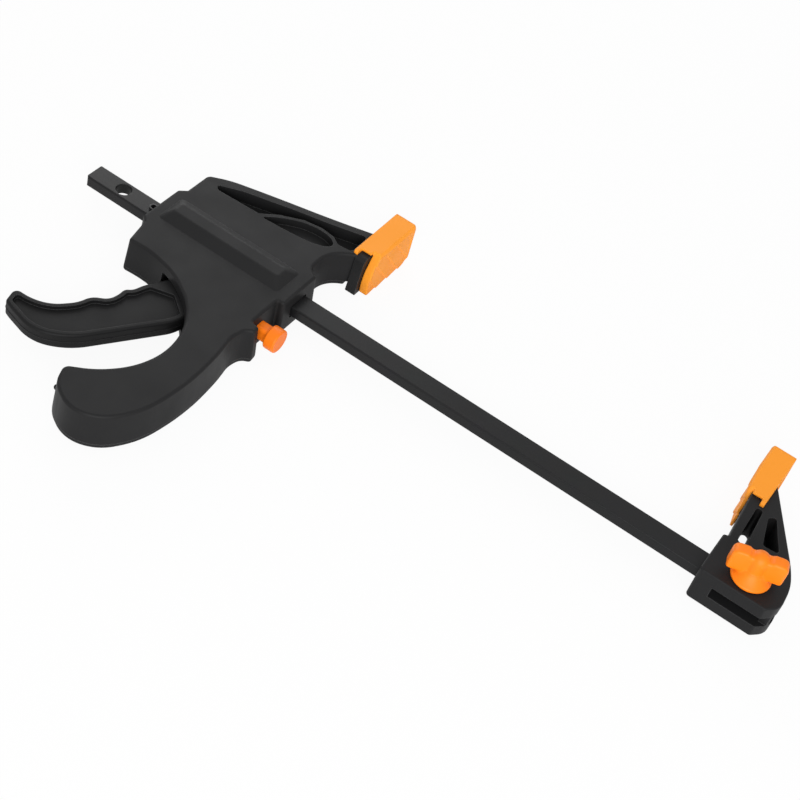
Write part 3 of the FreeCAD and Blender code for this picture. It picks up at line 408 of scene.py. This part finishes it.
# Bar
# Cold drawn flat steel with rounded edges, black oxide coated and oiled, so that it is satin with fine
# drawing lines along it. Its edges are painted as pale threads, partly a highlight and partly the coat
# worn thin.
drawing_lines = (60, 3200, 3200)
bar_black = drawn_metal(
    "bar_black", colour=(0.009, 0.009, 0.0095), highlight_and_worn=(0.12, 0.12, 0.125), stretch=drawing_lines,
    roughness=(0.30, 0.42), stain=0.2, metallic=0.0, highlight_and_wear=0.5, edge_width=0.7 * mm, gloss=0.18,
)
finish_nodes(bar_black, "bar")

# Bar: stop pin
# A hollow spring pin pressed through the bar, dark, with a pale ring at each end that is a painted
# highlight.
pin_black = drawn_metal(
    "pin_black", colour=(0.02, 0.02, 0.021), highlight_and_worn=(0.2, 0.2, 0.205), stretch=turned_lines,
    roughness=(0.28, 0.4), stain=0.3, metallic=0.0, highlight_and_wear=0.8, edge_width=0.3 * mm, gloss=0.3,
)
finish_nodes(pin_black, "stop_pin")

# Trigger lever
# Nylon like the housing's, from a tool whose halves meet at mid thickness, so a fine ridge runs round
# its edge there. The ridge follows the lever's outline, except at its top, which lies in the housing.
# Its edges are painted paler as a highlight.
lever_nylon = moulding(
    "lever_nylon", colour=(0.010, 0.010, 0.0103), highlight_and_worn=(0.08, 0.08, 0.082),
    edge_width=0.5 * mm, highlight_and_wear=0.7, grains=2200, cloud=0.35, roughness=(0.42, 0.52),
    grain_depth=0.05 * mm, gloss=0.12,
)
finish_nodes(lever_nylon, "trigger_lever")
ridge_radius = 0.28 * mm
ridge_start_depth = -62 * mm
ridge_fewest_points = 8
weld_gap = 0.002 * mm
lever_low, lever_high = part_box("trigger_lever")
lever_middle = (lever_low + lever_high) / 2
slice_mesh = bmesh.new()
slice_mesh.from_mesh(nodes["trigger_lever"].data)
bmesh.ops.remove_doubles(slice_mesh, verts=slice_mesh.verts, dist=weld_gap)
bmesh.ops.bisect_plane(
    slice_mesh, geom=slice_mesh.verts[:] + slice_mesh.edges[:] + slice_mesh.faces[:],
    plane_co=lever_middle, plane_no=(0, 0, 1), clear_inner=True, clear_outer=True,
)
ridge_curve = bpy.data.curves.new("lever_parting_ridge", "CURVE")
ridge_curve.dimensions = "3D"
ridge_curve.bevel_depth = ridge_radius
ridge_curve.bevel_resolution = 2
left = sorted(slice_mesh.edges, key=lambda edge: edge.verts[0].co.y)
while left:
    edge = left.pop()
    chain = [edge.verts[0], edge.verts[1]]
    for end in (1, 0):
        while True:
            tip = chain[-1] if end else chain[0]
            onward = [e for e in tip.link_edges if e in left]
            if not onward:
                break
            left.remove(onward[0])
            other = onward[0].other_vert(tip)
            chain.insert(len(chain) if end else 0, other)
    run = []
    runs = []
    for vert in chain:
        if vert.co.y < ridge_start_depth:
            run.append(vert.co.copy())
        elif run:
            runs.append(run)
            run = []
    runs.append(run)
    for run in runs:
        if len(run) > ridge_fewest_points:
            spline = ridge_curve.splines.new("POLY")
            spline.points.add(len(run) - 1)
            for point, place in zip(spline.points, run):
                point.co = (*place, 1)
slice_mesh.free()
lever_ridge = bpy.data.objects.new("lever_parting_ridge", ridge_curve)
scene.collection.objects.link(lever_ridge)
ridge_curve.materials.append(lever_nylon)
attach(lever_ridge, "trigger")

# Trigger pivot pin, drive spring, spring washer and brake spring
# Ground pin, hard drawn spring wire and a blanked washer, all zinc plated and closed in the housing.
pin_zinc = drawn_metal(
    "pin_zinc", colour=(0.52, 0.53, 0.55), highlight_and_worn=(0.72, 0.72, 0.73), stretch=turned_lines,
    roughness=(0.2, 0.32), stain=0.2, metallic=1.0, highlight_and_wear=0.5,
)
wire_lines = (3000, 700, 700)
spring_wire = drawn_metal(
    "spring_wire", colour=(0.42, 0.42, 0.44), highlight_and_worn=(0.6, 0.6, 0.61), stretch=wire_lines,
    roughness=(0.25, 0.4), stain=0.3, metallic=1.0, highlight_and_wear=0.3,
)
finish_nodes(pin_zinc, "trigger_pivot_pin", "spring_washer")
finish_nodes(spring_wire, "drive_spring", "brake_spring")

# Drive plates and brake plate
# Stamped from hardened strip. The punched edge of each plate's slot is what bites the bar, so it is
# bright.
rolled_lines = (1200, 90, 1600)
stamped_steel = drawn_metal(
    "stamped_steel", colour=(0.36, 0.36, 0.37), highlight_and_worn=(0.66, 0.66, 0.67), stretch=rolled_lines,
    roughness=(0.3, 0.46), stain=0.4, metallic=1.0, highlight_and_wear=0.8, edge_width=0.5 * mm,
)
finish_nodes(stamped_steel, "drive_plate_front", "drive_plate_rear", "brake_plate")

# Bar guides
# Slippery acetal blocks, dyed grey, with a smooth moulded skin, set inside the housing's end walls.
# Its edges are painted paler as a highlight.
guide_acetal = moulding(
    "guide_acetal", colour=(0.06, 0.06, 0.062), highlight_and_worn=(0.12, 0.12, 0.12), edge_width=0.3 * mm,
    highlight_and_wear=0.5, grains=900, cloud=0.2, roughness=(0.34, 0.42), grain_depth=0.02 * mm,
)
finish_nodes(guide_acetal, "bar_guide_rear", "bar_guide_front")

# Release button
# One orange moulding, square stem and round head, with a slight haze from handling.
# Its edges are painted a paler orange as a highlight.
button_orange = moulding(
    "button_orange", colour=(1.0, 0.205, 0.006), highlight_and_worn=(1.0, 0.30, 0.04), edge_width=0.6 * mm,
    highlight_and_wear=0.6, grains=1500, cloud=0.10, roughness=(0.36, 0.46), grain_depth=0.02 * mm,
)
finish_nodes(button_orange, "release_button")

# Jaw pads
# Soft orange rubber sleeves pulled over the flanges. Shallow slanting steps on the front grip the work,
# the rims are softly rounded, and two lips hook behind the flange.
pad_top = 100.8
pad_depth = 16.2
pad_side_low = -2.2
pad_side_high = 27.2
pad_hook_foot = 51.6
pad_side_foot = 56.3
pad_visible_foot = 59.3
pad_middle_foot = 51.3
pad_middle = 12.0
pad_hidden_foot = 51.8
pad_hidden_corner = 11.0
pad_visible_corner = 2.2
pad_back_corner = 1.2
pad_foot_corner = 1.8
pad_foot_bow = 30.0
hook_corner = 1.0
hidden_lip_high = 12.5
past_front = 5
past_back = -20
past_foot = 40
past_sides = (-8, 33)
step_pitch = 12.6
step_slant = 0.847
step_start = 61.1
step_depth = 0.75
step_ramp_share = 0.965
step_top_fade = (4.5, 2.5)
step_side_fade = (3.6, 2.4)
front_blend = (-5.0, -1.2)
soft_rim = 3.2
soft_rim_fall = 1.3
pad_voxel = 0.4
pad_ease_rounds = 5
flange_front = 6.3
flange_back = 13.1
flange_top = 96.8
flange_width = 25
lip_gap = (4.0, 21.0)
pocket_ease = 0.25


def rounded(corners, count=8):
    """Outline through corners given as (across, up, radius), each with a radius turned on a curve."""
    spots = []
    for i, (across, up, radius) in enumerate(corners):
        here = Vector((across, up))
        before = Vector(corners[i - 1][:2]) - here
        after = Vector(corners[(i + 1) % len(corners)][:2]) - here
        half_turn = (math.pi - before.angle(after)) / 2
        reach = min(radius * math.tan(half_turn), before.length / 2, after.length / 2)
        start = here + before.normalized() * reach
        end = here + after.normalized() * reach
        for k in range(count + 1 if reach else 1):
            t = k / count
            spots.append(tuple((1 - t) ** 2 * start + 2 * t * (1 - t) * here + t * t * end))
    return spots


def slab(name, outline, along, low, high):
    """Solid between two levels along an axis, on an outline in millimetres."""
    mesh = bpy.data.meshes.new(name)
    form = bmesh.new()
    rings = []
    for level in (low, high):
        ring = []
        for a, b in outline:
            place = {"X": (level, a, b), "Y": (a, level, b), "Z": (a, b, level)}[along]
            ring.append(form.verts.new(Vector(place) * mm))
        rings.append(ring)
    form.faces.new(rings[0])
    form.faces.new(rings[1])
    for i in range(len(outline)):
        k = (i + 1) % len(outline)
        form.faces.new((rings[0][i], rings[0][k], rings[1][k], rings[1][i]))
    bmesh.ops.recalc_face_normals(form, faces=form.faces)
    form.to_mesh(mesh)
    form.free()
    piece = bpy.data.objects.new(name, mesh)
    scene.collection.objects.link(piece)
    return piece


def softened(piece, tools, voxel, rounds):
    """The piece cut or joined with its tools, its skin made even and its edges softened."""
    for tool, way in tools:
        step = piece.modifiers.new(tool.name, "BOOLEAN")
        step.solver = "EXACT"
        step.operation = way
        step.object = tool
    skin = piece.modifiers.new("skin", "REMESH")
    skin.mode = "VOXEL"
    skin.voxel_size = voxel * mm
    ease = piece.modifiers.new("ease", "SMOOTH")
    ease.factor = 0.5
    ease.iterations = rounds
    view = bpy.context.evaluated_depsgraph_get()
    mesh = bpy.data.meshes.new_from_object(piece.evaluated_get(view))
    piece.modifiers.clear()
    piece.data = mesh
    for tool, _ in tools:
        bpy.data.objects.remove(tool)
    return piece


def smoothstep(value, low, high):
    """Share that eases from 0 at the low value to 1 at the high one."""
    share = min(max((value - low) / (high - low), 0.0), 1.0)
    return share * share * (3 - 2 * share)


# The rims are painted a paler orange as a highlight.
pad_rubber = moulding(
    "pad_rubber", colour=(1.0, 0.345, 0.024), highlight_and_worn=(1.0, 0.42, 0.06), edge_width=0.6 * mm,
    highlight_and_wear=0.4, grains=1300, cloud=0.08, roughness=(0.5, 0.6), grain_depth=0.03 * mm,
)


def hollow(name, back, front, top, low, high):
    """Block to be cut from a pad, open past its foot, between two levels across it."""
    outline = [(back, past_foot), (front, past_foot), (front, top), (back, top)]
    return slab(name, outline, "Z", low, high)


def jaw_pad(name, front):
    """Sleeve in millimetres, its front towards +X on the given line and its back towards -X."""
    back = [(-pad_depth, pad_top, pad_back_corner), (-pad_depth, front[0][1], 0)]
    profile = rounded(front + back)
    body = slab(name, profile, "Z", pad_side_low, pad_side_high)
    crown = [(pad_top, pad_side_low, pad_hidden_corner), (pad_top, pad_side_high, pad_visible_corner)]
    arched = rounded(crown + [
        (pad_visible_foot, pad_side_high, pad_foot_corner),
        (pad_middle_foot, pad_middle, pad_foot_bow),
        (pad_hidden_foot, pad_side_low, pad_foot_corner),
    ], count=12)
    level = rounded(crown + [
        (pad_hook_foot, pad_side_high, hook_corner), (pad_hook_foot, pad_side_low, hook_corner),
    ], count=12)
    ends = slab("pad_front_end", arched, "X", -flange_front - pocket_ease, past_front)
    rear_end = slab("pad_rear_end", level, "X", past_back, -flange_front)
    cavity = (-flange_back - pocket_ease, -flange_front + pocket_ease)
    pocket = hollow(
        "pad_pocket", *cavity, flange_top + pocket_ease, -pocket_ease, flange_width + pocket_ease
    )
    side_mouth = hollow("pad_side_mouth", *cavity, pad_side_foot, *past_sides)
    hidden_lip = hollow(
        "pad_hidden_lip", past_back, cavity[1], pad_side_foot, past_sides[0], hidden_lip_high
    )
    neck = hollow(
        "pad_neck", past_back, -flange_back, flange_top,
        lip_gap[0] - pocket_ease, lip_gap[1] + pocket_ease,
    )
    joined = ends.modifiers.new("joined", "BOOLEAN")
    joined.solver = "EXACT"
    joined.operation = "UNION"
    joined.object = rear_end
    tools = [(ends, "INTERSECT")]
    tools += [(tool, "DIFFERENCE") for tool in (pocket, side_mouth, hidden_lip, neck)]
    softened(body, tools, pad_voxel, pad_ease_rounds)
    bpy.data.objects.remove(rear_end)
    for vert in body.data.vertices:
        x, y, z = vert.co / mm
        for (low_x, low_y, _), (high_x, high_y, _) in zip(front, front[1:]):
            if low_y <= y:
                face = low_x + (high_x - low_x) * min((y - low_y) / (high_y - low_y), 1.0)
        near = smoothstep(x - face, *front_blend)
        if near:
            share = ((y + step_slant * z - step_start) / step_pitch) % 1.0
            ramp = min(share, (1 - share) * step_ramp_share / (1 - step_ramp_share))
            crest = 1 - smoothstep(y, *(pad_top - fade for fade in step_top_fade))
            flat = 1 - smoothstep(z, *(pad_side_high - fade for fade in step_side_fade))
            flank = max(z - pad_side_high + soft_rim, 0) / soft_rim
            vert.co.x -= (step_depth * ramp * crest * flat + soft_rim_fall * flank ** 2) * near * mm
    body.data.shade_smooth()
    body.data.materials.append(pad_rubber)
    return body


moving_front = [(-0.5, 45, 0), (-0.4, 54, 20), (-0.1, 66, 40), (0, 82, 0), (0, pad_top, 3.4)]
fixed_front = [(-6.0, 45, 0), (-3.9, 54.5, 20), (-1.4, 64, 40), (-0.4, 82, 40), (-0.3, pad_top, 1.6)]
for node, body_name, front, turn in (
    ("moving_jaw_pad", "housing", moving_front, 1),
    ("fixed_jaw_pad", "bar", fixed_front, -1),
):
    low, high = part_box(node)
    face = high.x if turn > 0 else low.x
    sleeve = jaw_pad(node + "_sleeve", front)
    for vert in sleeve.data.vertices:
        vert.co.x = face + turn * vert.co.x
    if turn < 0:
        sleeve.data.flip_normals()
    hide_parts(node)
    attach(sleeve, body_name)

# Far jaw
# Nylon block slid over the bar's end and held there by the knob's bolt. It is of the housing's batch,
# but its mould is slightly smoother.
# Its edges are painted paler as a highlight.
jaw_nylon = moulding(
    "jaw_nylon", colour=(0.014, 0.014, 0.0145), highlight_and_worn=(0.09, 0.09, 0.092),
    edge_width=0.5 * mm, highlight_and_wear=0.7, grains=2200, cloud=0.35, roughness=(0.44, 0.54),
    grain_depth=0.05 * mm, gloss=0.12,
)
finish_nodes(jaw_nylon, "fixed_jaw")

# Knob bolt, washer and nut
# Zinc plated steel: a shank moulded into the knob, a washer under it, and a hexagon nut below the jaw.
finish_nodes(screw_zinc, "knob_bolt", "knob_washer", "jaw_nut")

# Wing knob
# Orange nylon with a flared skirt, a domed hub and two thick rounded wings, all run together with soft
# fillets.
knob_low, knob_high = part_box("wing_knob")
knob_axis = Vector(((knob_low.x + knob_high.x) / 2, (knob_low.y + knob_high.y) / 2, knob_low.z))
knob_turn = math.radians(17.0)
knob_height = 20.7
hub_radius = 5.9
hub_shoulder = 15.0
hub_foot = 2
hub_crown = 0.4
skirt_radius = 12.0
skirt_corner = 0.5
skirt_edge = 1.7
skirt_step = (0.6, 0.5)
skirt_waist = 6.8
skirt_rise = 7.6
skirt_flare = 1.5
skirt_rings = 8
wing_span = 16.15
wing_root = 2.0
wing_foot = 4.4
wing_foot_corner = 2.2
wing_top = 19.5
wing_tip_corner = 9.5
wing_inner = 7.2
wing_inner_corner = 2.0
wing_valley = 18.3
wing_valley_reach = 5.6
wing_thickness = 8.2
wing_rounding = 3.8
shank_hole_radius = 3.4
shank_hole = (-3, 9)
head_hole_radius = 5.5
head_hole = (8.4, 12.5)
knob_voxel = 0.38
knob_ease_rounds = 9


def turned(name, profile, count):
    """Solid of revolution about Z from (radius, height) places in millimetres."""
    mesh = bpy.data.meshes.new(name)
    form = bmesh.new()
    rings = []
    for radius, height in profile:
        rings.append([
            form.verts.new(Vector((radius * math.cos(a), radius * math.sin(a), height)) * mm)
            for a in (math.tau * i / count for i in range(count))
        ])
    for lower, upper in zip(rings, rings[1:]):
        for i in range(count):
            k = (i + 1) % count
            form.faces.new((lower[i], lower[k], upper[k], upper[i]))
    form.faces.new(rings[0])
    form.faces.new(rings[-1])
    bmesh.ops.recalc_face_normals(form, faces=form.faces)
    form.to_mesh(mesh)
    form.free()
    piece = bpy.data.objects.new(name, mesh)
    scene.collection.objects.link(piece)
    return piece


# Its edges are painted a paler orange as a highlight.
knob_orange = moulding(
    "knob_orange", colour=(1.0, 0.225, 0.005), highlight_and_worn=(1.0, 0.34, 0.04), edge_width=0.8 * mm,
    highlight_and_wear=0.5, grains=1500, cloud=0.10, roughness=(0.38, 0.48), grain_depth=0.02 * mm,
)
skirt_profile = [
    (skirt_radius - skirt_corner, 0), (skirt_radius, skirt_corner), (skirt_radius, skirt_edge),
]
flare_start = (skirt_radius - skirt_step[0], skirt_edge + skirt_step[1])
skirt_profile += [
    (skirt_waist + (flare_start[0] - skirt_waist) * (1 - i / skirt_rings) ** skirt_flare,
     flare_start[1] + (skirt_rise - flare_start[1]) * i / skirt_rings)
    for i in range(skirt_rings + 1)
]
knob_body = turned("wing_knob_body", skirt_profile, 96)
hub_dome = [(hub_radius, hub_foot), (hub_radius, hub_shoulder)]
hub_dome += [(hub_radius * math.cos(math.radians(a)),
              hub_shoulder + (knob_height - hub_shoulder) * math.sin(math.radians(a)))
             for a in range(10, 90, 10)]
hub = turned("knob_hub", hub_dome + [(hub_crown, knob_height)], 64)
wing_side = rounded([
    (wing_root, wing_foot, 0), (wing_span, wing_foot, wing_foot_corner),
    (wing_span, wing_top, wing_tip_corner), (wing_inner, wing_top, wing_inner_corner),
    (wing_valley_reach, wing_valley, 0), (wing_root, wing_valley, 0),
])
tools = [(hub, "UNION")]
for side in (1, -1):
    outline = [(side * x, z) for x, z in wing_side]
    wing = slab(f"knob_wing_{side + 1}", outline, "Y", -wing_thickness / 2, wing_thickness / 2)
    rounding = wing.modifiers.new("rounding", "BEVEL")
    rounding.width = wing_rounding * mm
    rounding.segments = 5
    rounding.limit_method = "ANGLE"
    rounding.angle_limit = math.radians(50)
    tools.append((wing, "UNION"))
for hole, radius, levels in (
    ("knob_shank_hole", shank_hole_radius, shank_hole), ("knob_head_hole", head_hole_radius, head_hole),
):
    tools.append((turned(hole, [(radius, level) for level in levels], 32), "DIFFERENCE"))
softened(knob_body, tools, knob_voxel, knob_ease_rounds)
knob_body.data.shade_smooth()
knob_body.data.materials.append(knob_orange)
knob_body.data.transform(Matrix.Translation(knob_axis) @ Matrix.Rotation(knob_turn, 4, "Z"))
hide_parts("wing_knob")
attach(knob_body, "knob")
